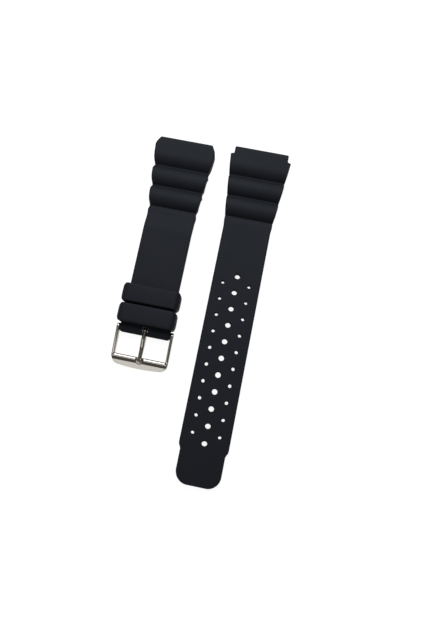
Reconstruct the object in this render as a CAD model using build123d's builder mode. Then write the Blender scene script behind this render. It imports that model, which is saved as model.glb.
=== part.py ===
from build123d import *

import math
import os

# A two-piece rubber dive strap, lying face up: X across the straps, +Y towards the watch, +Z up.
# The origin is under the middle of the whole, on the surface that it lies on. Lengths are in millimetres.

# Layout of the two halves
strap_spacing = 30.7
lug_end_offset = 1.6

# Moulding shared by both halves
lug_width = 22.0
lug_clearance = 0.1
shoulder_depth = 4.0
shoulder_overhang = 1.25
body_thickness = 3.0
head_thickness = 5.4
lug_bore_radius = 1.0
lug_bore_inset = 2.0
nose_radius = 1.9
body_edge_radius = 0.4
taper_run_out = 2.0

# Waves: a crown at the watch end, then two humps between three grooves
crown_flat_length = 7.2
first_groove = 11.75
wave_pitch = 8.6
groove_heights = (2.9, 2.7, 2.5)
hump_heights = (5.2, 4.9)
wave_run_out = 2.2
relief_half_width = 2.5
relief_height = 2.2

# Tail half
tail_length = 133.3
tail_frame_clearance = 0.55
tail_shoulder_chamfer = 0.5
hole_count = 11
hole_pitch = 6.5
last_hole_inset = 15.5
hole_radius = 1.05
vent_radius = 0.65
vent_offset = 5.2
tip_step_depth = 0.9
tip_step_start = 1.4
tip_step_length = 1.6
tip_corner_radius = 5.0

# Buckle half
buckle_strap_length = 81.3
buckle_shoulder_chamfer = 0.95
root_side_spread = 0.125
end_block_clearance = 0.35
end_block_step = 0.175
end_block_step_length = 0.5
end_corner_radius = 0.6
end_nose_radius = 1.4
ramp_length = 6.0

# Keepers
keeper_wall = 1.3
keeper_length = 7.0
keeper_spacing = 0.65
keeper_side_clearance = 0.25
keeper_strap_clearance = 0.15
tail_clearance = 0.3
keeper_corner_radius = 2.2
keeper_inner_radius = 0.5
keeper_edge_radius = 0.9

# Spring bar in the end of the buckle half
bar_inset = 2.0
tube_radius = 0.75
tube_wall = 0.19
tube_end_gap = 0.2
tube_lip_length = 0.3
bar_running_clearance = 0.05
plunger_radius = 0.36
plunger_collar_length = 1.0
plunger_running_clearance = 0.04
plunger_tip_setback = 0.1
plunger_seat_gap = 0.02
spring_wire_radius = 0.09
spring_turns = 14
spring_end_gap = 0.03

# Buckle frame
frame_inner_width = 20.0
arm_thickness = 1.05
eye_radius = 1.25
keeper_eye_gap = 0.55
window_length = 8.25
lip_radius = 0.9
lip_rise = 0.6
plate_depth = 4.5
plate_thickness = 0.95
plate_drop = 0.45
plate_corner_radius = 3.2
plate_bow = 1.0
plate_edge_radius = 0.3

# Tongue
tongue_width = 1.8
tongue_neck_width = 1.4
tongue_waist_width = 1.9
tongue_tip_radius = 0.6
bead_radius = 1.35
bead_height = 1.5
bead_edge_radius = 0.6
bead_reach = 9.35
notch_clearance = 0.15
notch_floor = 1.15
seat_gap = 0.05
slot_clearance = 0.25
slot_end_clearance = 0.35
slot_corner_radius = 0.3

overrun = 1.0

# Places worked out from the sizes
tail_x = strap_spacing / 2
buckle_x = -strap_spacing / 2
tail_lug_y = tail_length / 2
tail_tip_y = -tail_length / 2
buckle_lug_y = tail_lug_y - lug_end_offset
buckle_end_y = buckle_lug_y - buckle_strap_length
lug_tongue_width = lug_width - 2 * lug_clearance
shoulder_width = lug_width + 2 * shoulder_overhang
tail_width = frame_inner_width - 2 * tail_frame_clearance
tip_width = tail_width - 2 * tip_step_depth
last_hole = tail_length - last_hole_inset
first_hole = last_hole - (hole_count - 1) * hole_pitch
end_block_width = frame_inner_width - 2 * end_block_clearance
buckle_strap_width = end_block_width - 2 * end_block_step
buckle_strap_root_width = buckle_strap_width + 2 * root_side_spread
grooves = [first_groove + i * wave_pitch for i in range(len(groove_heights))]
wave_end = grooves[-1] + wave_run_out
taper_end = wave_end + taper_run_out
body_top_band = (body_thickness / 2, (body_thickness + head_thickness) / 2)

# The keepers pass under the buckle half, which rises by their wall to lie on them
ride = keeper_wall + keeper_strap_clearance
keeper_width = buckle_strap_root_width + 2 * (keeper_side_clearance + keeper_wall)
bar_y = buckle_end_y + bar_inset
bar_z = ride + body_thickness / 2
keeper_height = 2 * ride + 2 * body_thickness + tail_clearance
lower_keeper_y = bar_y + eye_radius + keeper_eye_gap + keeper_length / 2
upper_keeper_y = lower_keeper_y + keeper_length + keeper_spacing
end_block_y = lower_keeper_y - keeper_length / 2

frame_outer_width = frame_inner_width + 2 * arm_thickness
lip_y = buckle_end_y - window_length - lip_radius
lip_z = lip_radius + lip_rise
plate_edge_y = buckle_end_y - window_length - plate_depth
frame_back_y = bar_y + eye_radius + overrun
bead_y = buckle_end_y - bead_reach
bead_bottom = notch_floor + seat_gap
tongue_tip_z = bead_bottom + bead_height - tongue_tip_radius
bar_bore_radius = tube_radius + bar_running_clearance
slot_width = tongue_width + 2 * slot_clearance
slot_length = bar_inset + eye_radius + slot_end_clearance

tube_length = end_block_width - 2 * tube_end_gap
tube_bore_radius = tube_radius - tube_wall
collar_radius = tube_bore_radius - plunger_running_clearance
plunger_bore_radius = plunger_radius + plunger_running_clearance
collar_outer = tube_length / 2 - tube_lip_length - plunger_seat_gap
collar_inner = collar_outer - plunger_collar_length
plunger_tip = frame_outer_width / 2 - plunger_tip_setback
spring_half_length = collar_inner - spring_end_gap - spring_wire_radius
spring_radius = tube_bore_radius - plunger_running_clearance - spring_wire_radius - spring_end_gap

os.makedirs("parts", exist_ok=True)


def wave_top(lug_y):
    """Draws the top of a half, from the edge of its nose to the end of its waves."""
    groove_points = [(lug_y - d, z) for d, z in zip(grooves, groove_heights)]
    crown = (lug_y - crown_flat_length, head_thickness)
    Line((lug_y, head_thickness), crown)
    TangentArc(crown, groove_points[0], tangent=(-1, 0))
    for i, height in enumerate(hump_heights):
        crest = (lug_y - grooves[i] - wave_pitch / 2, height)
        ThreePointArc(groove_points[i], crest, groove_points[i + 1])
    TangentArc((lug_y - wave_end, body_thickness), groove_points[-1], tangent=(1, 0))


def reliefs(lug_y):
    """Cuts the channels that follow the humps on the underside of a half."""
    radius = (relief_half_width**2 + relief_height**2) / (2 * relief_height)
    for groove in grooves[:-1]:
        with Locations((lug_y - groove - wave_pitch / 2, relief_height - radius)):
            Circle(radius, mode=Mode.SUBTRACT)


# Tail half: the side profile pulled across, then trimmed to its outline
tip_step = last_hole + tip_step_start
with BuildPart() as tail_strap:
    with BuildSketch(Plane.YZ.offset(tail_x)) as tail_side:
        with BuildLine():
            wave_top(tail_lug_y)
            Polyline(
                (tail_lug_y - wave_end, body_thickness),
                (tail_tip_y, body_thickness),
                (tail_tip_y, 0),
                (tail_lug_y, 0),
                (tail_lug_y, head_thickness),
            )
        make_face()
        reliefs(tail_lug_y)
        fillet(tail_side.vertices().group_by(Axis.X)[-1], nose_radius)
    extrude(amount=shoulder_width / 2, both=True)
    with BuildSketch(Plane((tail_x, 0, 0))) as tail_outline:
        with BuildLine():
            Polyline(
                (0, tail_lug_y),
                (lug_tongue_width / 2, tail_lug_y),
                (lug_tongue_width / 2, tail_lug_y - shoulder_depth + tail_shoulder_chamfer),
                (shoulder_width / 2, tail_lug_y - shoulder_depth),
                (tail_width / 2, tail_lug_y - taper_end),
                (tail_width / 2, tail_lug_y - tip_step),
                (tip_width / 2, tail_lug_y - tip_step - tip_step_length),
                (tip_width / 2, tail_tip_y),
                (0, tail_tip_y),
            )
            mirror(about=Plane.YZ)
        make_face()
        fillet(tail_outline.vertices().group_by(Axis.Y)[0], tip_corner_radius)
    extrude(amount=head_thickness, mode=Mode.INTERSECT)
    tail_flats = tail_strap.faces().filter_by(Axis.Z)
    tail_base = tail_flats.group_by(Axis.Z)[0].sort_by(Axis.Y)[0]
    tail_top = tail_flats.filter_by_position(Axis.Z, *body_top_band)[0]
    tail_rims = [face.outer_wire().edges().sort_by(Axis.Y)[:-1] for face in (tail_base, tail_top)]
    fillet([edge for rim in tail_rims for edge in rim], body_edge_radius)
    with BuildSketch(Plane((tail_x, 0, 0))):
        for i in range(hole_count):
            with Locations((0, tail_lug_y - first_hole - i * hole_pitch)):
                Circle(hole_radius)
        for i in range(hole_count - 1):
            vent_y = tail_lug_y - first_hole - (i + 1 / 2) * hole_pitch
            with Locations((vent_offset, vent_y), (-vent_offset, vent_y)):
                Circle(vent_radius)
    extrude(amount=body_thickness, mode=Mode.SUBTRACT)
    with BuildSketch(Plane.YZ.offset(tail_x)):
        with Locations((tail_lug_y - lug_bore_inset, head_thickness / 2)):
            Circle(lug_bore_radius)
    extrude(amount=lug_tongue_width, both=True, mode=Mode.SUBTRACT)
tail_strap.part.label = "tail_strap"
export_step(tail_strap.part, "parts/tail_strap.step")

# Buckle half: the same head, a short rise on to the keepers, and an end block for the spring bar
ramp_start_y = buckle_lug_y - taper_end
ramp_middle_y = ramp_start_y - ramp_length / 2
ramp_end_y = ramp_start_y - ramp_length
with BuildPart() as buckle_strap:
    with BuildSketch(Plane.YZ.offset(buckle_x)) as buckle_side:
        with BuildLine():
            wave_top(buckle_lug_y)
            Line((buckle_lug_y - wave_end, body_thickness), (ramp_start_y, body_thickness))
            for base in (0, body_thickness):
                TangentArc((ramp_start_y, base), (ramp_middle_y, base + ride / 2), tangent=(-1, 0))
                TangentArc((ramp_end_y, base + ride), (ramp_middle_y, base + ride / 2), tangent=(1, 0))
            Polyline(
                (ramp_end_y, ride + body_thickness),
                (buckle_end_y, ride + body_thickness),
                (buckle_end_y, ride),
                (ramp_end_y, ride),
            )
            Polyline((ramp_start_y, 0), (buckle_lug_y, 0), (buckle_lug_y, head_thickness))
        make_face()
        reliefs(buckle_lug_y)
        fillet(buckle_side.vertices().group_by(Axis.X)[-1], nose_radius)
        fillet(buckle_side.vertices().group_by(Axis.X)[0], end_nose_radius)
    extrude(amount=shoulder_width / 2, both=True)
    with BuildSketch(Plane((buckle_x, 0, 0))) as buckle_outline:
        with BuildLine():
            Polyline(
                (0, buckle_lug_y),
                (lug_tongue_width / 2, buckle_lug_y),
                (lug_tongue_width / 2, buckle_lug_y - shoulder_depth + buckle_shoulder_chamfer),
                (shoulder_width / 2, buckle_lug_y - shoulder_depth),
                (buckle_strap_root_width / 2, buckle_lug_y - taper_end),
                (buckle_strap_width / 2, upper_keeper_y),
                (buckle_strap_width / 2, end_block_y),
                (end_block_width / 2, end_block_y - end_block_step_length),
                (end_block_width / 2, buckle_end_y),
                (0, buckle_end_y),
            )
            mirror(about=Plane.YZ)
        make_face()
        fillet(buckle_outline.vertices().group_by(Axis.Y)[0], end_corner_radius)
    extrude(amount=head_thickness, mode=Mode.INTERSECT)
    strap_flats = buckle_strap.faces().filter_by(Axis.Z).sort_by(SortBy.AREA)[-2:]
    strap_rims = [face.outer_wire().edges().filter_by(Axis.X, reverse=True) for face in strap_flats]
    fillet([edge for rim in strap_rims for edge in rim.sort_by(SortBy.LENGTH)[-4:]], body_edge_radius)
    with BuildSketch(Plane((buckle_x, 0, 0))):
        with Locations((0, buckle_end_y)):
            RectangleRounded(slot_width, 2 * slot_length, slot_corner_radius)
    extrude(amount=head_thickness, mode=Mode.SUBTRACT)
    with BuildSketch(Plane.YZ.offset(buckle_x)):
        with Locations((buckle_lug_y - lug_bore_inset, head_thickness / 2)):
            Circle(lug_bore_radius)
        with Locations((bar_y, bar_z)):
            Circle(bar_bore_radius)
    extrude(amount=lug_tongue_width, both=True, mode=Mode.SUBTRACT)
buckle_strap.part.label = "buckle_strap"
export_step(buckle_strap.part, "parts/buckle_strap.step")

# Keepers: closed loops, high enough inside for both halves
keeper_places = {"lower_keeper": lower_keeper_y, "upper_keeper": upper_keeper_y}
for name, place in keeper_places.items():
    with BuildPart() as keeper:
        with BuildSketch(Plane.XZ.offset(-place)):
            with Locations((buckle_x, keeper_height / 2)):
                RectangleRounded(keeper_width, keeper_height, keeper_corner_radius)
                RectangleRounded(
                    keeper_width - 2 * keeper_wall,
                    keeper_height - 2 * keeper_wall,
                    keeper_inner_radius,
                    mode=Mode.SUBTRACT,
                )
        extrude(amount=keeper_length / 2, both=True)
        ends = keeper.faces().filter_by(Axis.Y)
        fillet([edge for face in ends for edge in face.outer_wire().edges()], keeper_edge_radius)
    keeper.part.label = name
    export_step(keeper.part, f"parts/{name}.step")

# Buckle frame: two arms with eyes, and a front plate with a rolled lip and a notch for the tongue
with BuildPart() as buckle_frame:
    with BuildSketch(Plane.YZ.offset(buckle_x)):
        with Locations((bar_y, bar_z)):
            Circle(eye_radius)
        with Locations((lip_y, lip_z)):
            Circle(lip_radius)
        make_hull()
    extrude(amount=frame_outer_width / 2, both=True)
    with BuildSketch(Plane((buckle_x, 0, 0))):
        with Locations((0, lip_y)):
            Rectangle(frame_inner_width, frame_back_y - lip_y, align=(Align.CENTER, Align.MIN))
    extrude(amount=head_thickness, mode=Mode.SUBTRACT)
    with BuildSketch(Plane.YZ.offset(buckle_x)):
        with Locations((lip_y, lip_z)):
            Circle(lip_radius)
        with BuildLine():
            Polyline(
                (lip_y, lip_z),
                (lip_y, lip_z - lip_radius),
                (plate_edge_y + plate_depth / 2, 0),
                (plate_edge_y, 0),
                (plate_edge_y, plate_thickness),
                (lip_y, lip_z + lip_radius - plate_drop),
                (lip_y, lip_z),
            )
        make_face()
    extrude(amount=frame_outer_width / 2, both=True)
    with BuildSketch(Plane((buckle_x, 0, 0))) as frame_outline:
        with BuildLine():
            front_corner = (frame_outer_width / 2, plate_edge_y + plate_bow)
            back_corner = (frame_outer_width / 2, frame_back_y)
            Polyline(front_corner, back_corner, (0, frame_back_y))
            mirror(about=Plane.YZ)
            mirrored_corner = (-frame_outer_width / 2, plate_edge_y + plate_bow)
            ThreePointArc(front_corner, (0, plate_edge_y), mirrored_corner)
        make_face()
        fillet(frame_outline.vertices().group_by(Axis.Y)[0], plate_corner_radius)
    extrude(amount=head_thickness, mode=Mode.INTERSECT)
    fillet(buckle_frame.edges().group_by(Axis.Y)[0], plate_edge_radius)
    with BuildSketch(Plane((buckle_x, 0, notch_floor))):
        with Locations((0, bead_y)):
            Circle(bead_radius + notch_clearance)
    extrude(amount=head_thickness, mode=Mode.SUBTRACT)
    with BuildSketch(Plane.YZ.offset(buckle_x)):
        with Locations((bar_y, bar_z)):
            Circle(plunger_bore_radius)
    extrude(amount=frame_outer_width, both=True, mode=Mode.SUBTRACT)
buckle_frame.part.label = "buckle_frame"
export_step(buckle_frame.part, "parts/buckle_frame.step")

# Tongue: an eye on the bar, a tapering blade, and a round bead that rests in the notch
with BuildPart() as buckle_tongue:
    with BuildSketch(Plane.YZ.offset(buckle_x)):
        with Locations((bar_y, bar_z)):
            Circle(eye_radius)
        with Locations((bead_y, tongue_tip_z)):
            Circle(tongue_tip_radius)
        make_hull()
    extrude(amount=tongue_width, both=True)
    with BuildSketch(Plane((buckle_x, 0, 0))):
        with BuildLine():
            Polyline(
                (0, bar_y + eye_radius + overrun),
                (tongue_width / 2, bar_y + eye_radius + overrun),
                (tongue_width / 2, bar_y),
                (tongue_waist_width / 2, buckle_end_y),
                (tongue_neck_width / 2, bead_y),
                (0, bead_y),
            )
            mirror(about=Plane.YZ)
        make_face()
    extrude(amount=head_thickness, mode=Mode.INTERSECT)
    with BuildSketch(Plane((buckle_x, 0, bead_bottom))):
        with Locations((0, bead_y)):
            Circle(bead_radius)
    extrude(amount=bead_height)
    rim = buckle_tongue.edges().filter_by(GeomType.CIRCLE).group_by(Axis.Y)[0]
    fillet(rim, bead_edge_radius)
    with BuildSketch(Plane.YZ.offset(buckle_x)):
        with Locations((bar_y, bar_z)):
            Circle(bar_bore_radius)
    extrude(amount=tongue_width, both=True, mode=Mode.SUBTRACT)
buckle_tongue.part.label = "buckle_tongue"
export_step(buckle_tongue.part, "parts/buckle_tongue.step")

# Spring bar tube, with a lip at each end that holds a plunger's collar
bar_plane = Plane(origin=(buckle_x, bar_y, bar_z), x_dir=(0, 1, 0), z_dir=(1, 0, 0))
with BuildPart() as bar_tube:
    with BuildSketch(bar_plane):
        Circle(tube_radius)
        Circle(plunger_bore_radius, mode=Mode.SUBTRACT)
    extrude(amount=tube_length / 2, both=True)
    with BuildSketch(bar_plane):
        Circle(tube_bore_radius)
    extrude(amount=tube_length / 2 - tube_lip_length, both=True, mode=Mode.SUBTRACT)
bar_tube.part.label = "bar_tube"
export_step(bar_tube.part, "parts/bar_tube.step")

# Plungers: a collar inside the tube and a shank that ends in the frame's eye
for name, sign in {"left_plunger": -1, "right_plunger": 1}.items():
    with BuildPart() as plunger:
        with BuildSketch(bar_plane.offset(sign * collar_inner)):
            Circle(collar_radius)
        extrude(amount=sign * plunger_collar_length)
        with BuildSketch(bar_plane.offset(sign * collar_outer)):
            Circle(plunger_radius)
        extrude(amount=sign * (plunger_tip - collar_outer))
    plunger.part.label = name
    export_step(plunger.part, f"parts/{name}.step")


def helix_point(turn, pitch):
    """Gives the point and the direction of the spring's centre line after some turns."""
    angle = 2 * math.pi * turn
    rise = pitch / (2 * math.pi * spring_radius)
    point = Vector(
        buckle_x + pitch * turn - spring_half_length,
        bar_y + spring_radius * math.cos(angle),
        bar_z + spring_radius * math.sin(angle),
    )
    return point, Vector(rise, -math.sin(angle), math.cos(angle)).normalized()


def biarc_middle(start, start_way, end, end_way):
    """Gives the point where two tangent arcs from start to end meet, for turns that are alike."""
    chord = end - start
    ways = start_way + end_way
    a = 2 * (1 - start_way.dot(end_way))
    b = 2 * chord.dot(ways)
    reach = (-b + math.sqrt(b**2 + 4 * a * chord.dot(chord))) / (2 * a)
    return (start + end + (start_way - end_way) * reach) / 2


# Coil spring between the collars
spring_pitch = 2 * spring_half_length / spring_turns
quarter_turns = 4 * spring_turns
with BuildPart() as bar_spring:
    with BuildLine() as coil:
        for i in range(quarter_turns):
            start, start_way = helix_point(i / 4, spring_pitch)
            end, end_way = helix_point((i + 1) / 4, spring_pitch)
            middle = biarc_middle(start, start_way, end, end_way)
            TangentArc(start, middle, tangent=start_way)
            TangentArc(end, middle, tangent=-end_way)
    with BuildSketch(Plane(origin=coil.line @ 0, z_dir=coil.line % 0)):
        Circle(spring_wire_radius)
    sweep(path=coil.line)
bar_spring.part.label = "bar_spring"
export_step(bar_spring.part, "parts/bar_spring.step")
print(f"least gap between the spring's turns: {spring_pitch - 2 * spring_wire_radius:.2f} mm")
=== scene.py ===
"""Dresses a two-piece rubber dive strap: two moulded halves, two keepers and a polished steel pin buckle."""

import logging
import math
from dataclasses import dataclass, field
from enum import Enum
from typing import Iterable

import bmesh
import bpy
import numpy as np
from mathutils import Euler, Matrix, Vector


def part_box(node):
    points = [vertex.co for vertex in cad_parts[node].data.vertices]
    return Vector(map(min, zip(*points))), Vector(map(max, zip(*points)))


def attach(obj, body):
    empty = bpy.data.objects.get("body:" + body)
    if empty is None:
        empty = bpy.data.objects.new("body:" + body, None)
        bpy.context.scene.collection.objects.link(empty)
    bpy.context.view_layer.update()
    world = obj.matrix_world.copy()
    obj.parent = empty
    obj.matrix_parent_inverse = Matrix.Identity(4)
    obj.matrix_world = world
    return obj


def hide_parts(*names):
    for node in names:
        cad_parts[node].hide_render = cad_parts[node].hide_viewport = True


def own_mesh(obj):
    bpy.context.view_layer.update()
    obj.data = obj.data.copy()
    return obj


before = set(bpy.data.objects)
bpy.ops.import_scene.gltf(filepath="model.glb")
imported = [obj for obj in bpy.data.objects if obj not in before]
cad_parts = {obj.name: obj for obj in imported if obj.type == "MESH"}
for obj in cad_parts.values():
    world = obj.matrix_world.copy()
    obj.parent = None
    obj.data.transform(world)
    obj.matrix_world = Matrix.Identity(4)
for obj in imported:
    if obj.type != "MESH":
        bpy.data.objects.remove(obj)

log = logging.getLogger("dive_strap")

MM = 0.001
# A distance in millimetres that no rounded edge reaches.
FAR = 9.0
Point = tuple[float, float]
Triple = tuple[float, float, float]


class Slot(Enum):
    """The record's material slots."""

    RUBBER = "rubber"
    STEEL = "polished_steel"
    BAR = "bar_steel"


def linear(hex_colour: str) -> tuple[float, float, float, float]:
    """Turns an sRGB hex colour to the linear RGBA that shaders take.

    Args:
        hex_colour: Six hex digits, with or without a leading hash.

    Returns:
        Linear red, green and blue, and an alpha of 1.
    """
    digits = hex_colour.lstrip("#")
    channels = [int(digits[i : i + 2], 16) / 255 for i in (0, 2, 4)]
    straight = [c / 12.92 if c <= 0.04045 else ((c + 0.055) / 1.055) ** 2.4 for c in channels]
    return (*straight, 1.0)


def add_node(
    tree: bpy.types.NodeTree, kind: str, sockets: dict | None = None, **settings: object
) -> bpy.types.Node:
    """Adds a node with its settings, values and links.

    Args:
        tree: The node tree that it joins.
        kind: The node's type name.
        sockets: Values, or output sockets to link, by input name or number.
        **settings: The node's own properties.

    Returns:
        The new node.
    """
    node = tree.nodes.new(kind)
    for name, value in settings.items():
        setattr(node, name, value)
    for key, value in (sockets or {}).items():
        if isinstance(value, bpy.types.NodeSocket):
            tree.links.new(value, node.inputs[key])
        else:
            node.inputs[key].default_value = value
    return node


def blank_material(name: str) -> tuple[bpy.types.Material, bpy.types.NodeTree]:
    """Makes a material with nothing in its node tree.

    Args:
        name: The material's name.

    Returns:
        The material and its tree.
    """
    material = bpy.data.materials.new(name)
    material.use_nodes = True
    material.node_tree.nodes.clear()
    return material, material.node_tree


def fine_lines(
    tree: bpy.types.NodeTree, stretch: float, line_mm: float, detail: float, roughness: Point
) -> tuple[bpy.types.NodeSocket, bpy.types.NodeSocket]:
    """Adds the fine lines that working a metal leaves along it.

    Args:
        tree: The metal's node tree.
        stretch: The scale along the lines, as a share of the scale across them.
        line_mm: The spacing of the lines.
        detail: The noise's detail.
        roughness: The least and the most roughness between the lines.

    Returns:
        The lines' height and their roughness.
    """
    place = add_node(tree, "ShaderNodeTexCoord").outputs["Object"]
    along = add_node(tree, "ShaderNodeMapping", {"Vector": place, "Scale": (stretch, 1.0, 1.0)})
    lines = add_node(
        tree,
        "ShaderNodeTexNoise",
        {"Vector": along.outputs["Vector"], "Scale": 1 / (line_mm * MM), "Detail": detail},
    )
    spread = add_node(
        tree,
        "ShaderNodeMapRange",
        {"Value": lines.outputs["Fac"], "To Min": roughness[0], "To Max": roughness[1]},
    )
    return lines.outputs["Fac"], spread.outputs["Result"]


@dataclass(frozen=True)
class MouldedRubber:
    """Black nitrile rubber as it leaves a fine matt mould."""

    # It is dark and even, and light spreads on it as a soft wide sheen, a little bluer than the rubber.
    name: str = "moulded_black_rubber"
    shade: str = "14161d"
    shade_worn: str = "16191f"
    sheen_shade: str = "e8f0ff"
    roughness: Point = (0.66, 0.74)
    specular: float = 0.48
    ior: float = 1.5
    # The tone drifts in slow patches, about as wide as a hump.
    patch_mm: float = 9.0
    # Real mould grain is finer still. It is drawn coarser, and shows in near views: at the photograph's
    # distance a pixel covers about 0.4 mm.
    grain_mm: float = 0.25
    grain_depth_mm: float = 0.006
    grain_strength: float = 0.6

    def material(self) -> bpy.types.Material:
        """Makes the material.

        Returns:
            The material.
        """
        material, tree = blank_material(self.name)
        place = add_node(tree, "ShaderNodeTexCoord").outputs["Object"]
        patches = add_node(
            tree, "ShaderNodeTexNoise", {"Vector": place, "Scale": 1 / (self.patch_mm * MM), "Detail": 3.0}
        )
        tone = add_node(
            tree,
            "ShaderNodeMix",
            {"Factor": patches.outputs["Fac"], "A": linear(self.shade), "B": linear(self.shade_worn)},
            data_type="RGBA",
        )
        gloss = add_node(
            tree,
            "ShaderNodeMapRange",
            {"Value": patches.outputs["Fac"], "To Min": self.roughness[0], "To Max": self.roughness[1]},
        )
        grain = add_node(
            tree, "ShaderNodeTexNoise", {"Vector": place, "Scale": 1 / (self.grain_mm * MM), "Detail": 2.0}
        )
        bump = add_node(
            tree,
            "ShaderNodeBump",
            {
                "Strength": self.grain_strength,
                "Distance": self.grain_depth_mm * MM,
                "Height": grain.outputs["Fac"],
            },
        )
        shader = add_node(
            tree,
            "ShaderNodeBsdfPrincipled",
            {
                "Base Color": tone.outputs["Result"],
                "Roughness": gloss.outputs["Result"],
                "Normal": bump.outputs["Normal"],
                "Specular IOR Level": self.specular,
                "Specular Tint": linear(self.sheen_shade),
                "IOR": self.ior,
            },
        )
        add_node(tree, "ShaderNodeOutputMaterial", {"Surface": shader.outputs["BSDF"]})
        return material


@dataclass(frozen=True)
class PolishedSteel:
    """Stainless steel, polished bright on a wheel."""

    # It mirrors the room sharply, with a faint haze, in a slightly warm grey.
    name: str = "polished_stainless_steel"
    shade: str = "dedad2"
    roughness: Point = (0.07, 0.13)
    # The wheel's real lines are finer still. They are drawn coarser, and show in near views.
    line_mm: float = 0.3
    line_stretch: float = 0.08
    line_depth_mm: float = 0.0006
    line_strength: float = 0.5

    def material(self) -> bpy.types.Material:
        """Makes the material.

        Returns:
            The material.
        """
        material, tree = blank_material(self.name)
        lines, haze = fine_lines(tree, self.line_stretch, self.line_mm, 3.0, self.roughness)
        bump = add_node(
            tree,
            "ShaderNodeBump",
            {"Strength": self.line_strength, "Distance": self.line_depth_mm * MM, "Height": lines},
        )
        shader = add_node(
            tree,
            "ShaderNodeBsdfPrincipled",
            {
                "Base Color": linear(self.shade),
                "Metallic": 1.0,
                "Roughness": haze,
                "Normal": bump.outputs["Normal"],
            },
        )
        add_node(tree, "ShaderNodeOutputMaterial", {"Surface": shader.outputs["BSDF"]})
        return material


@dataclass(frozen=True)
class DrawnSteel:
    """Stainless wire and tube as drawn through a die."""

    # It is a plain grey metal with a satin skin of fine lines along it, drawn coarser than real ones.
    name: str = "drawn_stainless_steel"
    shade: str = "c4c2bd"
    roughness: Point = (0.25, 0.38)
    line_mm: float = 0.12
    line_stretch: float = 0.05

    def material(self) -> bpy.types.Material:
        """Makes the material.

        Returns:
            The material.
        """
        material, tree = blank_material(self.name)
        _, satin = fine_lines(tree, self.line_stretch, self.line_mm, 2.0, self.roughness)
        shader = add_node(
            tree,
            "ShaderNodeBsdfPrincipled",
            {"Base Color": linear(self.shade), "Metallic": 1.0, "Roughness": satin},
        )
        add_node(tree, "ShaderNodeOutputMaterial", {"Surface": shader.outputs["BSDF"]})
        return material


def piece_from_mesh(mesh_mm: bmesh.types.BMesh, name: str) -> bpy.types.Object:
    """Makes a smooth-shaded piece in metres from a mesh in millimetres.

    Args:
        mesh_mm: The closed mesh, which is freed.
        name: The piece's name.

    Returns:
        The new object, at the origin, in the scene's collection.
    """
    bmesh.ops.recalc_face_normals(mesh_mm, faces=mesh_mm.faces)
    bmesh.ops.scale(mesh_mm, vec=(MM, MM, MM), verts=mesh_mm.verts)
    mesh = bpy.data.meshes.new(name)
    mesh_mm.to_mesh(mesh)
    mesh_mm.free()
    piece = bpy.data.objects.new(name, mesh)
    bpy.context.scene.collection.objects.link(piece)
    return piece


def smooth_by_angle(piece: bpy.types.Object, degrees: float = 38.0) -> None:
    """Shades a piece smooth, except at edges that turn more than the angle.

    Args:
        piece: The mesh object.
        degrees: The least turn of an edge that stays sharp.
    """
    piece.data.polygons.foreach_set("use_smooth", [True] * len(piece.data.polygons))
    piece.data.set_sharp_from_angle(angle=math.radians(degrees))


def boolean(piece: bpy.types.Object, tools: Iterable[bpy.types.Object], operation: str) -> None:
    """Cuts or joins closed pieces and deletes the tools.

    Args:
        piece: The object that changes.
        tools: The closed objects that cut or join it.
        operation: DIFFERENCE or UNION.
    """
    for tool in tools:
        modifier = piece.modifiers.new(tool.name, "BOOLEAN")
        modifier.object = tool
        modifier.operation = operation
        modifier.solver = "EXACT"
        bpy.context.view_layer.update()
        graph = bpy.context.evaluated_depsgraph_get()
        result = bpy.data.meshes.new_from_object(piece.evaluated_get(graph))
        piece.modifiers.clear()
        old = piece.data
        piece.data = result
        bpy.data.meshes.remove(old)
        bpy.data.objects.remove(tool)


def cylinder(
    name: str, centre: Vector, axis: str, radius: float, length: float, sides: int = 48
) -> bpy.types.Object:
    """Makes a closed cylinder from sizes in millimetres.

    Args:
        name: The object's name.
        centre: Its middle.
        axis: X, Y or Z.
        radius: Its radius.
        length: Its whole length.
        sides: The number of sides.

    Returns:
        The new object.
    """
    turn = {"X": Euler((0, math.pi / 2, 0)), "Y": Euler((math.pi / 2, 0, 0)), "Z": Euler((0, 0, 0))}[axis]
    mesh = bmesh.new()
    bmesh.ops.create_cone(
        mesh,
        cap_ends=True,
        segments=sides,
        radius1=radius,
        radius2=radius,
        depth=length,
        matrix=Matrix.Translation(centre) @ turn.to_matrix().to_4x4(),
    )
    return piece_from_mesh(mesh, name)


def rows_to_mesh(rows: list[list[Vector]], closed: bool) -> bmesh.types.BMesh:
    """Joins rings of points into a skin.

    Args:
        rows: Rings of equally many points, in millimetres.
        closed: Whether the last ring joins the first. If not, each end gets a flat cap.

    Returns:
        The closed mesh.
    """
    mesh = bmesh.new()
    rings = [[mesh.verts.new(point) for point in row] for row in rows]
    count = len(rings[0])
    pairs = list(zip(rings, rings[1:]))
    if closed:
        pairs.append((rings[-1], rings[0]))
    for ring, after in pairs:
        for i in range(count):
            j = (i + 1) % count
            mesh.faces.new((ring[i], ring[j], after[j], after[i]))
    if not closed:
        mesh.faces.new(rings[0])
        mesh.faces.new(rings[-1])
    return mesh


GROOVE_STEPS = (-0.5, -0.25, -0.1, 0, 0.1, 0.25, 0.5)


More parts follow.
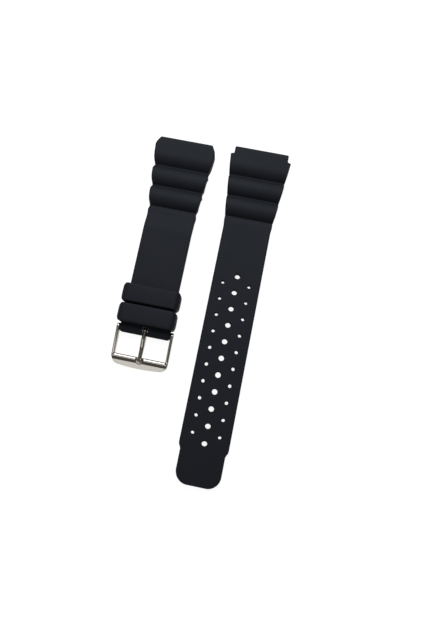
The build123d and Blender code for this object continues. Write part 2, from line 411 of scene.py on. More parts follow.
@dataclass(frozen=True)
class Waves:
    """The moulded waves at the watch end of a half, in millimetres from its lug end."""

    head_height: float = 5.4
    body_height: float = 3.0
    crown_flat: float = 7.2
    first_groove: float = 12.0
    pitch: float = 8.56
    groove_heights: tuple[float, ...] = (2.9, 2.7, 2.5)
    hump_heights: tuple[float, ...] = (5.2, 4.9)
    run_out: float = 2.2
    relief_half_width: float = 2.5
    relief_height: float = 2.2
    side_notch: float = 0.2
    notch_before: float = 1.6
    notch_after: float = 1.1
    groove_round: float = 0.3
    groove_samples: int = 9
    row_step: float = 0.45
    fine_run: float = 2.5

    @property
    def grooves(self) -> list[float]:
        """Distances of the grooves from the lug end."""
        return [self.first_groove + i * self.pitch for i in range(len(self.groove_heights))]

    @property
    def end(self) -> float:
        """The distance where the flat body starts."""
        return self.grooves[-1] + self.run_out

    @property
    def last_station(self) -> float:
        """The distance where the rows of the waves end."""
        return self.end + self.fine_run * self.run_out

    @property
    def humps(self) -> list[float]:
        """Distances of the humps' crests from the lug end."""
        return [groove + self.pitch / 2 for groove in self.grooves[:-1]]

    def top(self, distance: float) -> float:
        """Gives the height of the top with soft groove floors, before its edges are rounded."""
        steps = np.linspace(-self.groove_round, self.groove_round, self.groove_samples)
        return sum(self.sharp_top(distance + step) for step in steps) / len(steps)

    def sharp_top(self, distance: float) -> float:
        """Gives the height of the top with each groove as a sharp line.

        Args:
            distance: The distance from the lug end.

        Returns:
            The height.
        """
        grooves = self.grooves
        if distance <= self.crown_flat:
            return self.head_height
        if distance <= grooves[0]:
            fall = grooves[0] - self.crown_flat
            return tangent_arc(distance - self.crown_flat, fall, self.head_height, self.groove_heights[0])
        for i, crest in enumerate(self.hump_heights):
            if distance <= grooves[i + 1]:
                ends = (self.groove_heights[i], self.groove_heights[i + 1])
                return arc_through(distance - grooves[i], self.pitch, ends, crest)
        if distance <= self.end:
            last = self.groove_heights[-1]
            return tangent_arc(self.end - distance, self.run_out, self.body_height, last)
        return self.body_height

    def bottom(self, distance: float) -> float:
        """Gives the height of the underside, with the channels that follow the humps.

        Args:
            distance: The distance from the lug end.

        Returns:
            The height.
        """
        radius = (self.relief_half_width**2 + self.relief_height**2) / (2 * self.relief_height)
        for hump in self.humps:
            if abs(distance - hump) < self.relief_half_width:
                return math.sqrt(radius**2 - (distance - hump) ** 2) - radius + self.relief_height
        return 0.0

    def side_inset(self, distance: float) -> float:
        """Gives how far the side is drawn in: nothing at the crests, most in the grooves.

        Args:
            distance: The distance from the lug end.

        Returns:
            The depth of the notch.
        """
        if distance <= self.crown_flat or distance >= self.end + self.run_out:
            return 0.0
        depth = 0.0
        for groove in self.grooves:
            reach = self.notch_before if distance < groove else self.notch_after
            depth += math.exp(-(((distance - groove) / reach) ** 2))
        return self.side_notch * min(depth, 1.0)

    def stations(self) -> list[float]:
        """Gives the distances where the profile needs points.

        Returns:
            The distances, in no order.
        """
        marks = list(np.arange(self.crown_flat, self.last_station, self.row_step))
        for groove in self.grooves:
            marks += [groove + step for step in GROOVE_STEPS]
        for hump in self.humps:
            turns = [math.radians(a) for a in range(-90, 91, 10)]
            marks += [hump + self.relief_half_width * math.sin(turn) for turn in turns]
        return marks


def tangent_arc(run: float, whole_run: float, flat_height: float, low_height: float) -> float:
    """Gives the height along an arc that leaves a flat and falls.

    Args:
        run: The distance from the flat.
        whole_run: The distance from the flat to the low end.
        flat_height: The height of the flat.
        low_height: The height of the low end.

    Returns:
        The height at run.
    """
    drop = flat_height - low_height
    radius = (whole_run**2 + drop**2) / (2 * drop)
    return flat_height - radius + math.sqrt(max(radius**2 - run**2, 0))


def arc_through(run: float, span: float, ends: Point, crest: float) -> float:
    """Gives the height along an arc through two ends and a crest half way.

    Args:
        run: The distance from the first end.
        span: The distance between the ends.
        ends: The heights of the two ends.
        crest: The height in the middle.

    Returns:
        The height at run.
    """
    (x1, z1), (x2, z2), (x3, z3) = (0, ends[0]), (span / 2, crest), (span, ends[1])
    turn = 2 * (x1 * (z2 - z3) + x2 * (z3 - z1) + x3 * (z1 - z2))
    squares = [x1**2 + z1**2, x2**2 + z2**2, x3**2 + z3**2]
    cx = (squares[0] * (z2 - z3) + squares[1] * (z3 - z1) + squares[2] * (z1 - z2)) / turn
    cz = (squares[0] * (x3 - x2) + squares[1] * (x1 - x3) + squares[2] * (x2 - x1)) / turn
    radius = math.hypot(x1 - cx, z1 - cz)
    return cz + math.sqrt(max(radius**2 - (run - cx) ** 2, 0))


def rounded_drop(distance: np.ndarray, radius: float) -> np.ndarray:
    """Gives how far a rounded rim lies below its flat, by the distance from its edge."""
    inside = np.clip(radius - distance, 0, radius)
    return radius - np.sqrt(radius**2 - inside**2)


RIM_TURNS = tuple(math.radians(a) for a in (0, 22.5, 45, 67.5, 90))
CORNER_TURNS = tuple(math.radians(a) for a in range(0, 91, 6))
# Rows and columns of the grid in the block round one hole.
BLOCK = 8
OUTLINE_STEP = 0.08
TIP_POINTS = 40
TINY = 1e-12


@dataclass(frozen=True)
class RoundHole:
    """A hole through a strap, with the block of the mesh's grid that it stands in."""

    across: float
    distance: float
    radius: float
    first_row: int
    first_column: int
    span: int = BLOCK


@dataclass
class MouldedHalf:
    """One rubber half, as a grid of points over its outline, with a top, an underside and walls."""

    name: str
    node: str
    body: str
    rim: float = 0.4
    hole_rim: float = 0.18
    nose: float = 1.9
    margin: float = 0.6
    bore_inset: float = 2.0
    bore_radius: float = 1.0
    half_tongue: float = 10.9
    tongue_length: float = 3.5
    shoulder_run: float = 0.5
    shoulder_steps: int = 4
    nose_corner: float = 0.8
    taper_run: float = 2.0
    crown_step: float = 0.6
    body_step: float = 0.9
    least_row_gap: float = 0.04
    least_wall: float = 0.05
    wall_steps: int = 4
    edge_reach: float = 2.0
    round_tip: bool = True
    waves: Waves = field(default_factory=Waves)

    def __post_init__(self) -> None:
        """Reads the half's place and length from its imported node."""
        low, high = (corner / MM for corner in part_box(self.node))
        self.centre_x: float = (low.x + high.x) / 2
        self.lug_y: float = high.y
        self.length: float = high.y - low.y
        self.half_shoulder: float = (high.x - low.x) / 2

    def outline(self) -> list[Point]:
        """Gives the outline's corners as distances from the lug end and half widths."""
        raise NotImplementedError

    def nose_outline(self) -> list[Point]:
        """Gives the outline's round corner at the lug end.

        Returns:
            Its points.
        """
        corner = self.nose_corner
        half = self.half_tongue
        return [(corner * (1 - math.cos(t)), half - corner * (1 - math.sin(t))) for t in CORNER_TURNS]

    def lug_stations(self) -> list[float]:
        """Gives rows for the shoulders, the nose and the crown.

        Returns:
            The distances, in no order.
        """
        steps = self.shoulder_steps
        shoulder = [self.tongue_length + self.shoulder_run * i / steps for i in range(-2, steps + 3)]
        nose = [self.nose_corner * (1 - math.cos(math.radians(a))) for a in range(0, 91, 18)]
        crown = list(np.arange(self.nose, self.waves.crown_flat, self.crown_step))
        return shoulder + nose + crown

    def rise(self, distance: float) -> float:
        """Gives how far the half is lifted off the table at a distance."""
        return 0.0

    def inner_columns(self) -> list[float]:
        """Gives the columns between the margins, as shares of the half width inside the margin."""
        return list(np.linspace(-1, 1, 29))

    def own_stations(self) -> list[float]:
        """Gives the distances where this half needs points of its own."""
        raise NotImplementedError

    def holes(self, rows: list[float], columns: list[float]) -> list[RoundHole]:
        """Gives the holes of the half."""
        return []

    def half_width(self, distance: float) -> float:
        """Gives the half width at a distance, with the waves' notches."""
        marks, widths = zip(*self.outline())
        return float(np.interp(distance, marks, widths)) - self.waves.side_inset(distance)

    def end_drop(self, distance: float) -> float:
        """Gives how far the rounded ends lie below the flat.

        Args:
            distance: The distance from the lug end.

        Returns:
            The drop.
        """
        if distance < self.nose:
            return self.nose - math.sqrt(self.nose**2 - (self.nose - distance) ** 2)
        return 0.0

    def rows(self) -> list[float]:
        """Gives every row's distance from the lug end, in order and with no two too close.

        Returns:
            The distances.
        """
        marks = [self.nose * (1 - math.cos(math.radians(a))) for a in range(0, 91, 9)]
        marks += self.waves.stations() + self.own_stations()
        kept: list[float] = []
        fixed = set(self.fixed_stations())
        wanted = {round(m, 4) for m in [*marks, *fixed, self.length] if 0 <= m <= self.length}
        for mark in sorted(wanted):
            if kept and mark - kept[-1] < self.least_row_gap:
                if mark in fixed or mark == self.length:
                    kept[-1] = mark
                continue
            kept.append(mark)
        return kept

    def fixed_stations(self) -> list[float]:
        """Gives the distances that a row has to keep exactly."""
        return []

    def across(self, distance: float, share: float, offset: float | None) -> float:
        """Gives a column's place across the strap.

        Args:
            distance: The distance from the lug end.
            share: The column's share of the width inside the margins, or its side.
            offset: Its offset from the edge, if it goes by its side.

        Returns:
            The place.
        """
        width = self.half_width(distance)
        if offset is None:
            return share * (width - self.margin)
        return math.copysign(width - offset, share)

    def columns(self) -> list[tuple[float, float | None]]:
        """Gives the columns.

        Returns:
            Each column's share of the width inside the margins and None, or its side and its offset
            from the edge.
        """
        offsets = [self.rim * (1 - math.sin(turn)) for turn in RIM_TURNS]
        inner = [(share, None) for share in self.inner_columns()]
        return [(-1, o) for o in reversed(offsets)] + inner + [(1, o) for o in offsets]

    def edge_distance(self, points: np.ndarray) -> np.ndarray:
        """Gives each plan point's distance to the outline, lug end excluded.

        Args:
            points: The plan points, across and along.

        Returns:
            The distances. Points that lie well inside get one that no rounding reaches.
        """
        even = np.arange(0, self.length, OUTLINE_STEP)
        marks = np.unique(np.concatenate([even, [mark for mark, _ in self.outline()]]))
        widths = np.array([self.half_width(mark) for mark in marks])
        right = np.stack([widths, marks], 1)
        tip_x = np.linspace(widths[-1], -widths[-1], TIP_POINTS)
        tip = np.stack([tip_x, np.full(TIP_POINTS, self.length)], 1)
        path = np.concatenate([right, tip, right[::-1] * (-1, 1)]) if self.round_tip else right
        if not self.round_tip:
            points = np.abs(points * (1, 0)) + points * (0, 1)
        starts, steps = path[:-1], np.diff(path, axis=0)
        squares = np.maximum((steps**2).sum(1), TINY)
        nearest = np.full(len(points), FAR)
        widths_here = np.interp(points[:, 1], marks, widths)
        close = np.abs(points[:, 0]) > widths_here - self.edge_reach
        close |= points[:, 1] > self.length - self.edge_reach
        for i in np.flatnonzero(close):
            offset = points[i] - starts
            along = np.clip((offset * steps).sum(1) / squares, 0, 1)
            nearest[i] = np.sqrt(((offset - steps * along[:, None]) ** 2).sum(1).min())
        return nearest

    def build(self) -> bpy.types.Object:
        """Builds the half's closed mesh.

        Returns:
            The piece, in metres.
        """
        rows, columns = self.rows(), self.columns()
        holes = self.holes(rows, [share for share, _ in columns])
        plan: list[Point] = []
        grid: dict[tuple[int, int], int] = {}
        faces: list[tuple[int, ...]] = []
        hole_distance: list[float] = []
        inside = set()
        for hole in holes:
            steps = range(1, hole.span)
            inside |= {(hole.first_row + i, hole.first_column + j) for i in steps for j in steps}
        for j, row in enumerate(rows):
            for k, (share, offset) in enumerate(columns):
                if (j, k) not in inside:
                    grid[j, k] = len(plan)
                    plan.append((self.across(row, share, offset), row))
                    hole_distance.append(FAR)
        covered = set()
        for hole in holes:
            steps = range(hole.span)
            covered |= {(hole.first_row + i, hole.first_column + j) for i in steps for j in steps}
        for j in range(len(rows) - 1):
            for k in range(len(columns) - 1):
                if (j, k) not in covered:
                    faces.append((grid[j, k], grid[j, k + 1], grid[j + 1, k + 1], grid[j + 1, k]))
        for hole in holes:
            self.add_rings(hole, grid, plan, hole_distance, faces)
        return self.raise_plan(np.array(plan), np.array(hole_distance), faces)

    def add_rings(
        self,
        hole: RoundHole,
        grid: dict[tuple[int, int], int],
        plan: list[Point],
        hole_distance: list[float],
        faces: list[tuple[int, ...]],
    ) -> None:
        """Adds rings of points from a block's border down to its hole.

        Args:
            hole: The hole and its block.
            grid: The point numbers of the grid.
            plan: The plan points, which grow.
            hole_distance: Each point's distance from a hole's edge, which grows.
            faces: The faces, which grow.
        """
        j, k, n = hole.first_row, hole.first_column, hole.span
        border = [grid[j, k + i] for i in range(n)]
        border += [grid[j + i, k + n] for i in range(n)]
        border += [grid[j + n, k + n - i] for i in range(n)]
        border += [grid[j + n - i, k] for i in range(n)]
        count = len(border)
        turns = [math.radians(-135) + 2 * math.pi * i / count for i in range(count)]
        rims = [self.hole_rim * (1 - math.sin(turn)) for turn in RIM_TURNS]
        outer = self.hole_rim * 2
        before = border
        for ring_offset, blend in [(outer, 0.5)] + [(offset, 1.0) for offset in [outer, *rims]]:
            radius = hole.radius + ring_offset
            ring = []
            for turn, edge in zip(turns, border):
                x = hole.across + radius * math.cos(turn)
                y = hole.distance + radius * math.sin(turn)
                ring.append(len(plan))
                edge_x, edge_y = plan[edge]
                plan.append((x + (edge_x - x) * (1 - blend), y + (edge_y - y) * (1 - blend)))
                hole_distance.append(ring_offset if blend == 1 else FAR)
            for i in range(count):
                m = (i + 1) % count
                faces.append((before[i], before[m], ring[m], ring[i]))
            before = ring

    def raise_plan(
        self, plan: np.ndarray, hole_distance: np.ndarray, faces: list[tuple[int, ...]]
    ) -> bpy.types.Object:
        """Makes the top, the underside and the walls from the plan.

        Args:
            plan: The plan points, across and along.
            hole_distance: Each point's distance from a hole's edge.
            faces: The plan's faces.

        Returns:
            The piece, in metres.
        """
        drop = rounded_drop(self.edge_distance(plan), self.rim)
        drop = drop + rounded_drop(hole_distance, self.hole_rim)
        lift = np.array([self.rise(d) for d in plan[:, 1]])
        ends = np.array([self.end_drop(d) for d in plan[:, 1]])
        top = np.array([self.waves.top(d) for d in plan[:, 1]]) + lift - ends - drop
        base = np.array([self.waves.bottom(d) for d in plan[:, 1]]) + lift + ends + drop
        base = np.minimum(base, top - self.least_wall)
        mesh = bmesh.new()

        def vertex(index: int, height: float) -> bmesh.types.BMVert:
            """Adds a point over a plan point."""
            return mesh.verts.new((self.centre_x + plan[index][0], self.lug_y - plan[index][1], height))

        tops = [vertex(i, top[i]) for i in range(len(plan))]
        bases = [vertex(i, base[i]) for i in range(len(plan))]
        edges: dict[tuple[int, int], int] = {}
        for face in faces:
            mesh.faces.new([tops[i] for i in face])
            mesh.faces.new([bases[i] for i in reversed(face)])
            for a, b in zip(face, face[1:] + face[:1]):
                edges[a, b] = edges.get((a, b), 0) + 1
        walls: dict[int, list[bmesh.types.BMVert]] = {}
        steps = self.wall_steps
        for a, b in list(edges):
            if (b, a) in edges:
                continue
            for index in (a, b):
                if index not in walls:
                    fall = base[index] - top[index]
                    middle = [top[index] + fall * i / steps for i in range(1, steps)]
                    walls[index] = [tops[index], *(vertex(index, h) for h in middle), bases[index]]
            for i in range(steps):
                mesh.faces.new((walls[a][i], walls[a][i + 1], walls[b][i + 1], walls[b][i]))
        piece = piece_from_mesh(mesh, self.name)
        boolean(piece, self.cutters(), "DIFFERENCE")
        smooth_by_angle(piece)
        return piece

    def cutters(self) -> list[bpy.types.Object]:
        """Makes the closed shapes that are cut from the half."""
        return [self.bore("lug_bore", self.bore_inset, self.waves.head_height / 2, self.bore_radius)]

    def bore(self, name: str, inset: float, height: float, radius: float) -> bpy.types.Object:
        """Makes the cutter of a bore across the half."""
        centre = Vector((self.centre_x, self.lug_y - inset, height))
        return cylinder(name, centre, "X", radius, 4 * self.half_shoulder)

    def dress(self, finish: bpy.types.Material) -> bpy.types.Object:
        """Builds the piece, gives it its finish and puts it on its body.

        Args:
            finish: The material.

        Returns:
            The piece.
        """
        piece = self.build()
        piece.data.materials.append(finish)
        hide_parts(self.node)
        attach(piece, self.body)
        log.info("%s: %d faces", self.name, len(piece.data.polygons))
        return piece


@dataclass
class TailHalf(MouldedHalf):
    """The half with the pin holes and the vents."""

    half_body: float = 9.45
    half_tip: float = 8.55
    hole_count: int = 11
    hole_pitch: float = 6.5
    first_hole: float = 52.8
    hole_radius: float = 1.05
    vent_radius: float = 0.65
    vent_offset: float = 5.2
    tip_step: float = 119.2
    tip_step_length: float = 1.6
    tip_corner: float = 5.0
    tip_row_step: float = 0.8
    block_gap: float = 0.3
    pin_block: float = 3.0

    @property
    def first_block(self) -> float:
        """The distance where the first hole's block of the grid starts."""
        return self.first_hole - self.hole_pitch / 2

    def outline(self) -> list[Point]:
        """Gives the outline: tongue, shoulders, taper, body, stepped tip with round corners.

        Returns:
            The corners.
        """
        straight = self.length - self.tip_corner
        tip = [
            (straight + self.tip_corner * math.sin(t), self.half_tip - self.tip_corner * (1 - math.cos(t)))
            for t in CORNER_TURNS
        ]
        return [
            *self.nose_outline(),
            (self.tongue_length, self.half_tongue),
            (self.tongue_length + self.shoulder_run, self.half_shoulder),
            (self.waves.end + self.taper_run, self.half_body),
            (self.tip_step, self.half_body),
            (self.tip_step + self.tip_step_length, self.half_tip),
            *tip,
        ]

    def fixed_stations(self) -> list[float]:
        """Gives the rows that the hole blocks stand on."""
        count = BLOCK * self.hole_count
        return [round(self.first_block + i * (self.hole_pitch / BLOCK), 4) for i in range(count + 1)]

    def own_stations(self) -> list[float]:
        """Gives rows for the shoulders, the plain body and the tip.

        Returns:
            The distances, in no order.
        """
        first = self.first_block
        last = first + self.hole_count * self.hole_pitch
        body = list(np.arange(self.waves.last_station, first - self.block_gap, self.body_step))
        straight = self.length - self.tip_corner
        tip = list(np.arange(last + self.tip_row_step, straight, self.tip_row_step))
        tip += [straight + self.tip_corner * math.sin(math.radians(a)) for a in range(0, 91, 5)]
        tip += [self.length - self.rim * (1 - math.sin(turn)) for turn in RIM_TURNS]
        return self.lug_stations() + body + tip

    def inner_columns(self) -> list[float]:
        """Gives the columns: a block in the middle for the pin holes and one on each side for the vents.

        Returns:
            The columns as shares of the half width inside the margin.
        """
        reach = self.half_body - self.margin
        middle, outer = self.pin_block, 2 * self.vent_offset - self.pin_block
        half_block = BLOCK // 2
        marks = [middle * i / half_block for i in range(-half_block, half_block + 1)]
        side = [middle + (outer - middle) * i / BLOCK for i in range(1, BLOCK + 1)]
        edge = list(np.linspace(outer, reach, 4))[1:]
        right = side + edge
        return [m / reach for m in [-m for m in reversed(right)] + marks + right]

    def holes(self, rows: list[float], columns: list[float]) -> list[RoundHole]:
        """Gives the pin holes and the vents, which stand half a pitch further.

        Args:
            rows: The rows' distances from the lug end.
            columns: The columns' shares.

        Returns:
            The holes with their blocks.
        """
        start = rows.index(round(self.first_block, 4))
        middle = len(columns) // 2 - BLOCK // 2
        found = []
        for i in range(self.hole_count):
            place = self.first_hole + i * self.hole_pitch
            first_row = start + BLOCK * i
            found.append(RoundHole(0, place, self.hole_radius, first_row, middle))
            if i < self.hole_count - 1:
                for side in (-1, 1):
                    vent = (side * self.vent_offset, place + self.hole_pitch / 2, self.vent_radius)
                    found.append(RoundHole(*vent, first_row + BLOCK // 2, middle + side * BLOCK))
        return found


@dataclass
class BuckleHalf(MouldedHalf):
    """The half that carries the buckle and the keepers."""

    waves: Waves = field(default_factory=lambda: Waves(side_notch=0.48))
    round_tip: bool = False
    tongue_length: float = 3.05
    shoulder_run: float = 0.95
    shoulder_steps: int = 5
    shoulder_curve: tuple[Point, ...] = ((-1.2, 0.38), (-0.6, 0.15), (0.0, 0.04), (0.7, 0.04))
    nose_swell: Point = (0.3, 0.15)
    half_root: float = 9.6
    half_body: float = 9.475
    half_block: float = 9.88
    block_corner: float = 1.2
    body_start: float = 66.35
    block_start: float = 77.5
    block_run: float = 0.5
    block_gap: float = 0.4
    ride: float = 1.45
    ramp_start: float = 31.2
    ramp: float = 8.1
    ramp_ease: float = 0.3
    end_nose: float = 0.8
    nose_corner: float = 1.0
    bar_inset: float = 2.0
    bar_radius: float = 0.8
    slot_width: float = 2.3
    slot_length: float = 3.33
    slot_corner: float = 0.3
    slot_past_end: float = 1.0

    def outline(self) -> list[Point]:
        """Gives the outline: tongue, soft shoulders, taper, body and end block.

        Returns:
            The corners.
        """
        corner = self.block_corner
        end = [
            (self.length - corner * (1 - math.sin(t)), self.half_block - corner * (1 - math.cos(t)))
            for t in CORNER_TURNS
        ]
        shoulder = self.tongue_length + self.shoulder_run
        along, out = self.nose_swell
        return [
            *self.nose_outline(),
            (self.nose_corner + along, self.half_tongue + out),
            *((shoulder + step, self.half_shoulder - inset) for step, inset in self.shoulder_curve),
            (self.waves.end + self.taper_run, self.half_root),
            (self.body_start, self.half_body),
            (self.block_start, self.half_body),
            (self.block_start + self.block_run, self.half_block),
            *end,
        ]

    def own_stations(self) -> list[float]:
        """Gives rows for the shoulders, the body and the end.

        Returns:
            The distances, in no order.
        """
        body = list(np.arange(self.waves.last_station, self.block_start - self.block_gap, self.body_step))
        block = [self.block_start + self.block_run * i / 3 for i in range(-1, 5)]
        end = [self.length - self.end_nose * (1 - math.cos(math.radians(a))) for a in range(0, 91, 9)]
        return self.lug_stations() + body + block + end

    def rise(self, distance: float) -> float:
        """Gives the lift on to the keepers: an even slope with eased ends after the waves, then level.

        Args:
            distance: The distance from the lug end.

        Returns:
            The lift.
        """
        run = min(max((distance - self.ramp_start) / self.ramp, 0.0), 1.0)
        near = min(run, 1 - run)
        eased = near**2 / (2 * self.ramp_ease) if near < self.ramp_ease else near - self.ramp_ease / 2
        share = eased / (1 - self.ramp_ease)
        return self.ride * (share if run <= 0.5 else 1 - share)

    def end_drop(self, distance: float) -> float:
        """Gives the rounding of the lug end and of the buckle end.

        Args:
            distance: The distance from the lug end.

        Returns:
            The drop.
        """
        left = self.length - distance
        if left < self.end_nose:
            return self.end_nose - math.sqrt(self.end_nose**2 - (self.end_nose - left) ** 2)
        return super().end_drop(distance)

    def cutters(self) -> list[bpy.types.Object]:
        """Makes the lug bore, the bar's bore and the slot for the tongue.

        Returns:
            The closed cutters.
        """
        height = self.ride + self.waves.body_height / 2
        bar = self.bore("bar_bore", self.length - self.bar_inset, height, self.bar_radius)
        turns = [math.radians(a) for a in range(0, 91, 15)]
        side, end = self.slot_width / 2 - self.slot_corner, self.slot_length - self.slot_corner
        corner = self.slot_corner
        right = [(side + corner * math.cos(t), end + corner * math.sin(t)) for t in turns]
        left = [(-x, y) for x, y in reversed(right)]
        half, past = self.slot_width / 2, -self.slot_past_end
        plan = [(half, past), *right, *left, (-half, past)]
        end_y = self.lug_y - self.length
        rows = [
            [Vector((self.centre_x + x, end_y + y, z)) for x, y in plan]
            for z in (0, 2 * self.waves.head_height)
        ]
        slot = piece_from_mesh(rows_to_mesh(rows, closed=False), "tongue_slot")
        return [*super().cutters(), bar, slot]


QUADRANTS = ((1, 1), (-1, 1), (-1, -1), (1, -1))
CORNER_POINTS = 11
# Steps along the loop's long sides, across the strap, and its short ones.
LONG_SIDE, SHORT_SIDE = 24, 8


@dataclass
class Keeper:
    """A moulded rubber loop that slides along the buckle half and holds the tail down."""

    node: str
    body: str
    wall: float = 1.3
    corner: float = 2.4
    inner_corner: float = 0.6
    edge: float = 0.6
    side_edge: float = 1.7
    side_edge_depth: float = 1.05
    inner_edge: float = 0.2
    crown: float = 0.12

    def __post_init__(self) -> None:
        """Reads the loop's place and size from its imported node."""
        low, high = (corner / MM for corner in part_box(self.node))
        self.centre: Vector = (low + high) / 2
        self.half_size: Vector = (high - low) / 2

    def side_shares(self) -> list[float]:
        """Gives how far each point of a path lies on the side walls.

        Returns:
            1 on a side wall and 0 on the top and bottom, for each point.
        """
        shares: list[float] = []
        for turn in range(4):
            quarter = np.linspace(0, math.pi / 2, CORNER_POINTS)
            shares += [math.cos(turn * math.pi / 2 + a) ** 2 for a in quarter]
            shares += [0.0] * (LONG_SIDE - 1) if turn % 2 == 0 else [1.0] * (SHORT_SIDE - 1)
        return shares

    def path(self, inset: float, corner: float) -> list[Point]:
        """Gives a rounded rectangle inside the loop's outside, with equally many points for any corner.

        Args:
            inset: The distance in from the loop's outside.
            corner: The corner radius.

        Returns:
            Points across and up from the loop's middle.
        """
        half_x, half_z = self.half_size.x - inset, self.half_size.z - inset

        def on_corner(quadrant: int, angle: float) -> Point:
            """Gives a point of a corner's arc.

            Args:
                quadrant: The corner's number, anticlockwise from the upper right.
                angle: The point's angle round the corner.

            Returns:
                The point.
            """
            sx, sz = QUADRANTS[quadrant]
            return (
                sx * (half_x - corner) + corner * math.cos(angle),
                sz * (half_z - corner) + corner * math.sin(angle),
            )

        points: list[Point] = []
        for turn in range(4):
            quarter = np.linspace(0, math.pi / 2, CORNER_POINTS)
            points += [on_corner(turn, turn * math.pi / 2 + a) for a in quarter]
            after = (turn + 1) % 4
            start, end = points[-1], on_corner(after, after * math.pi / 2)
            count = LONG_SIDE if turn % 2 == 0 else SHORT_SIDE
            points += [tuple(s + (e - s) * i / count for s, e in zip(start, end)) for i in range(1, count)]
        return points

    def section(self, side: float) -> list[Point]:
        """Gives the wall's section.

        Args:
            side: How far it lies on a side wall, 0 to 1.

        Returns:
            Pairs of the depth below the outside and the place along Y from the middle.
        """
        half = self.half_size.y
        turns = [math.radians(a) for a in range(0, 91, 10)]
        depth = self.edge + (self.side_edge_depth - self.edge) * side
        reach = self.edge + (self.side_edge - self.edge) * side
        outside = [(depth * (1 - math.sin(t)), half - reach * (1 - math.cos(t))) for t in turns]
        inside = [
            (self.wall - self.inner_edge * (1 - math.sin(t)), half - self.inner_edge * (1 - math.cos(t)))
            for t in reversed(turns)
        ]
        upper = [*inside, *outside]
        flat = [(0.0, y) for y in np.linspace(half - reach, -(half - reach), 9)[1:-1]]
        lower = [(depth, -y) for depth, y in reversed(upper)]
        inner = half - self.inner_edge
        floor = [(self.wall, y) for y in np.linspace(-inner, inner, 5)[1:-1]]
        return [*upper, *flat, *lower, *floor]

    def dress(self, finish: bpy.types.Material) -> bpy.types.Object:
        """Builds the loop, gives it its finish and puts it on its body.

        Args:
            finish: The material.

        Returns:
            The piece.
        """
        outside, inside = self.path(0, self.corner), self.path(self.wall, self.inner_corner)
        half = self.half_size.y
        columns = []
        for side, (xo, zo), (xi, zi) in zip(self.side_shares(), outside, inside):
            column = []
            for depth, along in self.section(side):
                share = depth / self.wall
                sink = self.crown * (along / half) ** 2 * (1 - share)
                blend = min(share + sink / self.wall, 1.0)
                place = Vector((xo + (xi - xo) * blend, along, zo + (zi - zo) * blend))
                column.append(self.centre + place)
            columns.append(column)
        rows = [list(row) for row in zip(*columns)]
        piece = piece_from_mesh(rows_to_mesh(rows, closed=True), f"{self.node}_loop")
        smooth_by_angle(piece)
        piece.data.materials.append(finish)
        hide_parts(self.node)
        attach(piece, self.body)
        log.info("%s: %d faces", piece.name, len(piece.data.polygons))
        return piece


# Shares of the way across the frame's bar, close together at its rims and at the crease under the lip.
FRAME_SPLIT = 0.58
FRAME_COLUMNS = (
    *(0.0, 0.004, 0.015, 0.034, 0.06, 0.092, 0.13, 0.17, 0.21, 0.25, 0.29, 0.33, 0.38, 0.43, 0.47, 0.495),
    *(0.51, 0.522, 0.53, 0.538, 0.55, 0.565, FRAME_SPLIT, 0.62, 0.68, 0.74, 0.8, 0.86, 0.91, 0.95, 0.98, 1.0),
)
# The blade's top: shares of the way to the bead, and of the fall that it has made there.
BLADE_FALL = ((0, 0.28, 0.56, 1), (0, 0.12, 0.67, 1))
BLADE_SIDES = 36
# The bead's side: shares of its radius and of its height, from the foot to the middle of its top.
BEAD_PROFILE = (
    *((0.55, 0.0), (0.8, 0.0), (0.93, 0.04), (0.985, 0.12), (1.0, 0.24), (1.0, 0.6), (0.985, 0.64)),
    *((0.95, 0.68), (0.7, 0.93), (0.65, 0.97), (0.6, 0.985), (0.5, 0.995), (0.3, 1.0), (0.1, 1.0)),
)
BEAD_SIDES = 48


